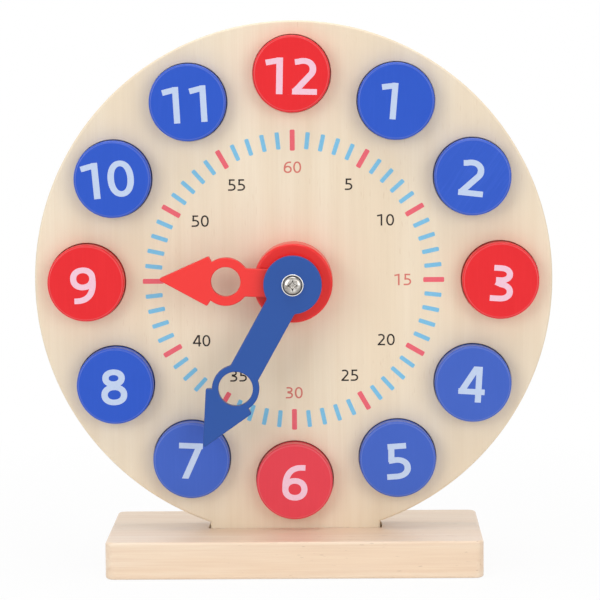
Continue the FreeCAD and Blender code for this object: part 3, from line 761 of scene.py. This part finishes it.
def crossHead(centre, seat, facing, look):
    # a pan head: forward = height - shoulder * (1 - sqrt(1 - s * s)) over the shoulder's run s,
    # less a four-pointed recess where |x| ^ p + |y| ^ p < span ^ p; facing is 1 or -1
    angle = np.linspace(0, 2 * np.pi, look["count"], endpoint=False)
    radius = look["headRadius"]
    reach = radius * np.linspace(0, 1, look["rings"])[:, None]
    across, up = reach * np.cos(angle), reach * np.sin(angle)
    run = np.clip((reach - look["flat"] * radius) / (radius - look["flat"] * radius), 0, 1)
    turn = math.radians(look["turn"])
    first = np.abs(across * math.cos(turn) + up * math.sin(turn))
    second = np.abs(up * math.cos(turn) - across * math.sin(turn))
    star = (first ** starPower + second ** starPower) / look["span"] ** starPower
    inside = np.clip((1 - star) / look["bank"], 0, 1)
    top = look["headHeight"] - look["shoulder"] * (1 - np.sqrt(1 - run * run))
    top = top - look["recess"] * inside * inside * (3 - 2 * inside)
    plan = np.stack([centre[0] + across, centre[1] + up], -1)
    points = onDial(plan, seat + facing * top)
    rim = onDial(plan[-1:], seat - facing * look["skirt"])
    faces = gridFaces(look["rings"] + 1, look["count"])
    return [(np.concatenate([points, rim]).reshape(-1, 3), faces)]


def makeScrews():
    back, seat = nodeSpan("washer")                  # the head sits on the washer's front
    tail, front = nodeSpan("centre_screw")
    look = {
        "headRadius": 4.0, "headHeight": front - seat, "shank": 1.75, "count": 96, "rings": 44,
        "flat": 0.42, "shoulder": 1.25, "turn": 0.0, "span": starSpan, "bank": 0.24, "recess": 1.3,
        "skirt": 0.2,
    }
    washer = {
        "gap": 0.1, "edge": 0.15, "edgeSteps": 6, "margin": 0.02,
        "dish": 0.25, "dishFrom": 0.42, "dishTo": 0.1,       # its depth, and how far past the head
    }
    head, shank, skirt = look["headRadius"], look["shank"], seat - look["skirt"]
    parts = crossHead((0, 0), seat, 1, look)
    profile = [(head, skirt), (shank, skirt), (shank, tail), (0, tail)]
    parts += turnedParts((0, 0), profile, look["count"])
    makePiece("centreScrew", parts, finishes["steel"], "minute_train", "centre_screw")
    radius, bore, floor = nodeRadius("washer"), shank + washer["gap"], seat - washer["dish"]
    rim = roundedRim(radius, seat, washer["edge"], washer["edgeSteps"], washer["margin"])
    profile = [(bore, back), (radius, back)] + rim
    profile += [(head + washer["dishFrom"], seat), (head + washer["dishTo"], floor)]
    profile += [(bore, floor), (bore, back)]
    parts = turnedParts((0, 0), profile)
    makePiece("washerRing", parts, finishes["steel"], "minute_train", "washer")


def makeHubScrews():
    # three screws from the back, their heads level with the board
    look = {
        "headRadius": hubHeadRadius, "headHeight": 1.7, "shank": 1.25, "count": 64, "rings": 26,
        "flat": 0.5, "shoulder": 0.45, "span": 2.0, "bank": 0.24, "recess": 0.9, "skirt": 0.0,
        "turns": (20, 75, 48),
    }
    tail = nodeSpan("hub_screws")[1]
    seat = look["headHeight"] - dialThickness
    head, shank = look["headRadius"], look["shank"]
    parts = []
    for place, turn in zip(hubScrewPlaces(), look["turns"]):
        parts += crossHead(place, seat, -1, {**look, "turn": turn})
        profile = [(head, seat), (shank, seat), (shank, tail), (0, tail)]
        parts += turnedParts(place, profile, look["count"])
    makePiece("hubScrews", parts, finishes["steel"], "dial", "hub_screws")


makeBoard()
makeFoot()
makeDiscs()
makeDrum()
makeHands()
makeScrews()
makeHubScrews()
print("wood, drum, hands and screws made")


# numbers, drawn as strokes

levelStroke = 0.92    # how thick a level stroke is against an upright one
squareness = 0.93     # under 1, an arc's corners are fuller than an ellipse's


def arcPath(cx, cy, rx, ry, start, end, steps=18, square=squareness):
    # an ellipse's arc in degrees, with its cosine and sine raised to a power
    angle = np.radians(np.linspace(start, end, steps))
    cosine, sine = np.cos(angle), np.sin(angle)
    x = cx + rx * np.sign(cosine) * np.abs(cosine) ** square
    return np.stack([x, cy + ry * np.sign(sine) * np.abs(sine) ** square], 1)


def ribbon(path, weight):
    # a band of one weight along an open path, with square ends; level strokes are thinner
    step = np.gradient(path, axis=0)
    step /= np.linalg.norm(step, axis=1)[:, None]
    side = np.stack([-step[:, 1], step[:, 0] * levelStroke], 1) * weight / 2
    return [np.vstack([path + side, (path - side)[::-1]])]


def hooked(start, arc, end, weight):
    # a ribbon that runs straight into an arc and straight out of it
    return ribbon(np.vstack([[start], arc, [end]]), weight)


def bowl(cx, cy, rx, ry, weight):
    # a closed ring of one weight: an outer and an inner loop
    side, level = weight / 2, weight / 2 * levelStroke
    outer = arcPath(cx, cy, rx + side, ry + level, 0, 360, steps=49)[:-1]
    inner = arcPath(cx, cy, rx - side, ry - level, 0, 360, steps=49)[:-1]
    return [outer, inner]


def slant(x0, y0, x1, y1, weight):
    # a straight stroke with level ends
    half = weight / 2 * math.hypot(x1 - x0, y1 - y0) / abs(y1 - y0)
    return [np.array([(x0 - half, y0), (x0 + half, y0), (x1 + half, y1), (x1 - half, y1)])]


def bar(middle, low, high, width):
    # a level stroke
    return slant(middle, low, middle, high, width)


def digitShapes(digit, weight):
    # the strokes of one figure, one unit high on a baseline at zero, and its width
    h = weight / 2                                 # half an upright stroke
    t = h * levelStroke                            # half a level one
    if digit == 0:
        return [bowl(0.345, 0.5, 0.345 - h, 0.5 - t, weight)], 0.69
    if digit == 1:
        flag = np.array([(0.0, 0.855), (0.25, 0.905), (0.45 - h, 1 - h)])
        return [ribbon(flag, weight), slant(0.45 - h, 0, 0.45 - h, 1, weight)], 0.45
    if digit == 2:
        arc = arcPath(0.285, 0.7, 0.335 - h, 0.3 - t, 118, -38)
        neck = hooked((0.06, 0.965 - t), arc, (0.065, t), weight)
        return [neck, bar(0.325, 0, 2 * t, 0.65)], 0.65
    if digit == 3:
        upper = arcPath(0.27, 0.755, 0.325 - h, 0.245 - t, 90, -90)
        lower = arcPath(0.26, 0.275, 0.365 - h, 0.275 - t, 84, -90)
        top = hooked((0.07, 1 - t), upper, (0.14, 0.51 + t), weight)
        return [top, hooked((0.14, 0.53), lower, (0.0, t), weight)], 0.625
    if digit == 4:
        diagonal = slant(h * 1.05, 0.3, 0.5, 1, weight)
        beam = bar(0.365, 0.215, 0.215 + 2 * t, 0.73)
        return [diagonal, beam, slant(0.555, 0, 0.555, 1, weight)], 0.73
    if digit == 5:
        arc = arcPath(0.27, 0.31, 0.385 - h, 0.31 - t, 90, -90)
        belly = hooked((0.075, 0.6 - t), arc, (0.0, t), weight)
        neck = slant(0.075 + h * 0.8, 0.5, 0.09 + h, 1, weight * 0.97)
        return [belly, bar(0.32, 1 - 2 * t, 1, 0.5), neck], 0.655
    if digit in (6, 9):
        ring = bowl(0.35, 0.315, 0.35 - h, 0.315 - t, weight)
        tail = ribbon(arcPath(0.56, 0.35, 0.56 - h, 0.65 - t, 182, 84, square=0.8), weight)
        shapes = [ring, tail]
        if digit == 9:
            shapes = [[np.array([0.7, 1.0]) - loop for loop in shape] for shape in shapes]
        return shapes, 0.7
    if digit == 7:
        return [bar(0.33, 1 - 2 * t, 1, 0.66), slant(0.2, 0, 0.66 - h * 1.08, 1 - t, weight)], 0.66
    upper = bowl(0.345, 0.755, 0.3 - h, 0.245 - t, weight)
    return [upper, bowl(0.345, 0.29, 0.345 - h, 0.29 - t, weight)], 0.69


def numberShapes(number, height, weight, centre, degrees, pitch, wide=1.0):
    # a number's figures side by side, one pitch apart, middled on a point and turned; a 1
    # starts at its own place in the pitch, and the others stand in the middle of it
    oneStart = 0.1
    shapes, edges = [], []
    for place, figure in enumerate(str(number)):
        strokes, width = digitShapes(int(figure), weight / height)
        start = place * pitch + (oneStart if figure == "1" else (pitch - width) / 2)
        edges += [start, start + width]
        shapes += [[loop + (start, 0) for loop in stroke] for stroke in strokes]
    middle = np.array([(min(edges) + max(edges)) / 2, 0.5])
    size = np.array([wide, 1.0]) * height
    spin = turnedBy(degrees)
    return [[(loop - middle) * size @ spin + centre for loop in shape] for shape in shapes]


def makePrint(name, shapes, surface, finish, body):
    # a printed film: the shapes' union a hair proud of the surface, with its edges run down
    # just under it
    film = {"proud": 0.04, "sunk": 0.05}
    flat, triangles = fillShapes(shapes)
    used = np.unique(triangles)
    renumber = np.zeros(len(flat), int)
    renumber[used] = np.arange(len(used))
    flat, triangles = flat[used], renumber[triangles]
    edges = triangles[:, [0, 1, 1, 2, 2, 0]].reshape(-1, 2).tolist()
    there = {tuple(edge) for edge in edges}
    rim = np.array([edge for edge in edges if (edge[1], edge[0]) not in there])
    count = len(flat)
    points = np.vstack([onDial(flat, surface + film["proud"]), onDial(flat, surface - film["sunk"])])
    walls = np.stack([rim[:, 0] + count, rim[:, 1] + count, rim[:, 1], rim[:, 0]], 1)
    faces = triangles.tolist() + (triangles[:, ::-1] + count).tolist() + walls.tolist()
    mesh = bpy.data.meshes.new(name)
    mesh.from_pydata(points.tolist(), [], faces)
    mesh.materials.append(finish)
    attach(addObject(name, mesh), body)


def makeDiscNumbers():
    look = {
        "height": 16.0, "weight": 2.72, "pitch": 0.75, "drop": -0.7,
        # how each disc lies turned in its seat, in degrees anticlockwise
        "turns": {
            1: -5, 2: -6.5, 3: -4, 4: -3.5, 5: 4, 6: -1,
            7: -2.5, 8: 2, 9: 4.5, 10: 5, 11: 3, 12: -1.5,
        },
        # how far off its disc's middle each number is printed, across and up
        "offsets": {
            1: (-3.1, 0.9), 2: (-0.3, 0.3), 3: (0.5, -0.5), 4: (-0.6, 0.6),
            5: (0.2, -0.1), 6: (0.1, 0.3), 7: (-0.4, 0.6), 8: (-0.4, 0.2),
            9: (-1.0, -0.2), 10: (-1.8, 0.6), 11: (-1.1, -0.2), 12: (0, -0.3),
        },
        # those that are printed a little wider or narrower
        "wide": {1: 0.98, 2: 1.05, 5: 1.03, 8: 1.04, 10: 1.05, 12: 1.05},
    }
    for hour in range(1, 13):
        centre = discPlace(hour) + (0, look["drop"]) + look["offsets"][hour]
        size = (look["height"], look["weight"])
        wide = look["wide"].get(hour, 1.0)
        shapes = numberShapes(hour, *size, centre, look["turns"][hour], look["pitch"], wide)
        surface = nodeSpan("number_disc_%d" % hour)[1]
        ink = finishes["pinkishInk" if hour in redHours else "whiteInk"]
        makePrint("number%d" % hour, shapes, surface, ink, "disc_%d" % hour)


def makeMinuteTrack():
    look = {
        "radius": 62.3, "corner": 0.5, "cornerPoints": 4,
        # length and width of the marks
        "plain": (7.6, 1.9), "fifth": (9.0, 2.2), "quarter": (9.3, 2.2),
        "numberHeight": 5.1, "numberWeight": 0.72, "numberPitch": 0.82,
        # a quarter turn's numbers, across and up from the middle; the others mirror them
        "numberPlaces": {0: (0, 50.3), 5: (24.8, 42.6), 10: (41.1, 26.7), 15: (48.6, 0.1)},
    }
    blue, rose, dark, pale = [], [], [], []
    for minute in range(60):
        fifth, quarter = minute % 5 == 0, minute % 15 == 0
        length, width = look["quarter" if quarter else "fifth" if fifth else "plain"]
        mark = roundedBox(width, length, look["corner"], look["cornerPoints"], (0, look["radius"]))
        (rose if fifth else blue).append([mark @ turnedBy(-6 * minute)])
        if fifth:
            across, up = look["numberPlaces"][min(minute % 30, -minute % 30)]
            right = 1 if minute <= 30 else -1
            above = 1 if minute <= 15 or minute > 45 else -1
            size = (look["numberHeight"], look["numberWeight"])
            centre = (right * across, above * up)
            shapes = numberShapes(minute or 60, *size, centre, 0, look["numberPitch"])
            (pale if quarter else dark).extend(shapes)
    makePrint("minuteMarks", blue, 0, finishes["skyInk"], "dial")
    makePrint("fifthMarks", rose, 0, finishes["roseInk"], "dial")
    makePrint("minuteNumbers", dark, 0, finishes["darkInk"], "dial")
    makePrint("quarterNumbers", pale, 0, finishes["paleRoseInk"], "dial")


makeDiscNumbers()
makeMinuteTrack()
print("numbers and minute track printed")


# pieces kept as the frame gives them


def dressNodes():
    wanted = {
        "gear_plate": "gearPlastic", "minute_arbor": "gearPlastic", "idler_wheel": "gearPlastic",
        "hour_wheel": "gearPlastic", "idler_stud": "steel", "arbor_clip": "steel",
    }
    for name, finish in wanted.items():
        nodes[name].data.materials.clear()
        nodes[name].data.materials.append(finishes[finish])


dressNodes()
print("frame pieces dressed")


# floor, light and camera


def makeFloor():
    # a pale sheet; rays from the camera and mirror rays see it nearly white, wholly so away
    # from the object, and it keeps a faint shadow
    look = {
        "size": 6.0, "drop": -0.0002, "paper": (0.86, 0.86, 0.86, 1),
        "white": 0.92,                               # how much of it is plain white near by
        "plainFrom": (0.16, 0.4),                    # from here to here it turns wholly white
    }
    half, drop = look["size"] / 2, look["drop"]
    mesh = bpy.data.meshes.new("floor")
    corners = [(-half, -half, drop), (half, -half, drop), (half, half, drop), (-half, half, drop)]
    mesh.from_pydata(corners, [], [(0, 1, 2, 3)])
    floor = addObject("floor", mesh)
    paper = Finish("floorPaper")
    paper.set({"Base Color": look["paper"], "Roughness": 0.8, "Specular IOR Level": 0.0})
    near, far = look["plainFrom"]
    away = (paper.vectorMaths("LENGTH", paper.place) - near) / (far - near)
    away = paper.add("ShaderNodeClamp", {}, {"Value": away})
    share = paper.plainRays() * (away * (1 - look["white"]) + look["white"])
    own = Value(paper, paper.shader.outputs[0])
    glow = paper.add("ShaderNodeEmission", {}, {"Color": (1, 1, 1, 1), "Strength": 1.0})
    mixed = paper.add("ShaderNodeMixShader", {}, {0: share, 1: own, 2: glow})
    paper.feed(paper.tree.nodes["Material Output"].inputs["Surface"], mixed)
    mesh.materials.append(paper.material)


def makeLights():
    look = {
        # place and watts of each soft box
        "key": ((-1.25, -1.6, 0.75), 11.4),
        "fill": ((1.25, -1.6, 0.65), 9.6),
        "top": ((0.0, -0.1, 1.7), 15.0),
        "aim": (0, 0, 0.12), "size": 1.2, "room": 0.45,
    }
    for name in ("key", "fill", "top"):
        place, watts = look[name]
        lamp = bpy.data.lights.new(name, "AREA")
        lamp.size = look["size"]
        lamp.energy = watts
        holder = addObject(name, lamp)
        holder.location = place
        holder.rotation_euler = (Vector(look["aim"]) - Vector(place)).to_track_quat("-Z", "Y").to_euler()
    world = bpy.data.worlds.new("room")
    world.use_nodes = True
    bpy.context.scene.world = world
    room = Graph(world.node_tree)
    own = room.tree.nodes["Background"]
    room.feed(own.inputs["Color"], (1, 1, 1, 1))
    room.feed(own.inputs["Strength"], look["room"])
    light = Value(room, own.outputs[0])
    white = room.add("ShaderNodeBackground", {}, {"Color": (1, 1, 1, 1), "Strength": 1.0})
    mixed = room.add("ShaderNodeMixShader", {}, {0: room.plainRays(), 1: light, 2: white})
    room.feed(room.tree.nodes["World Output"].inputs["Surface"], mixed)


def makeCamera():
    # the photo's view: millimetres from the dial's centre on its face, and degrees
    look = {
        "place": (21.5, -1254.5, 117.8), "pitch": -5.76, "yaw": 0.85, "roll": 0.46,
        "lens": 170.2, "sensor": 36.0, "reach": 20,
    }
    pitch, yaw, roll = (math.radians(look[name]) for name in ("pitch", "yaw", "roll"))
    turn = Matrix.Rotation(yaw, 3, "Z") @ Matrix.Rotation(pitch, 3, "X") @ Matrix.Rotation(roll, 3, "Y")
    right, ahead, up = turn.col
    x, y, z = look["place"]
    pose = Matrix((right, up, -ahead)).transposed().to_4x4()
    pose.translation = Vector((x, dialFace + y, dialCentre + z)) * mm
    camera = bpy.data.cameras.new("photoView")
    camera.sensor_fit = "HORIZONTAL"
    camera.sensor_width = look["sensor"]
    camera.lens = look["lens"]
    camera.clip_end = look["reach"]
    holder = addObject("photoView", camera)
    holder.matrix_world = pose
    bpy.context.scene.camera = holder


makeFloor()
makeLights()
makeCamera()
bpy.context.scene.view_settings.view_transform = "Standard"
print("floor, lights and camera set")
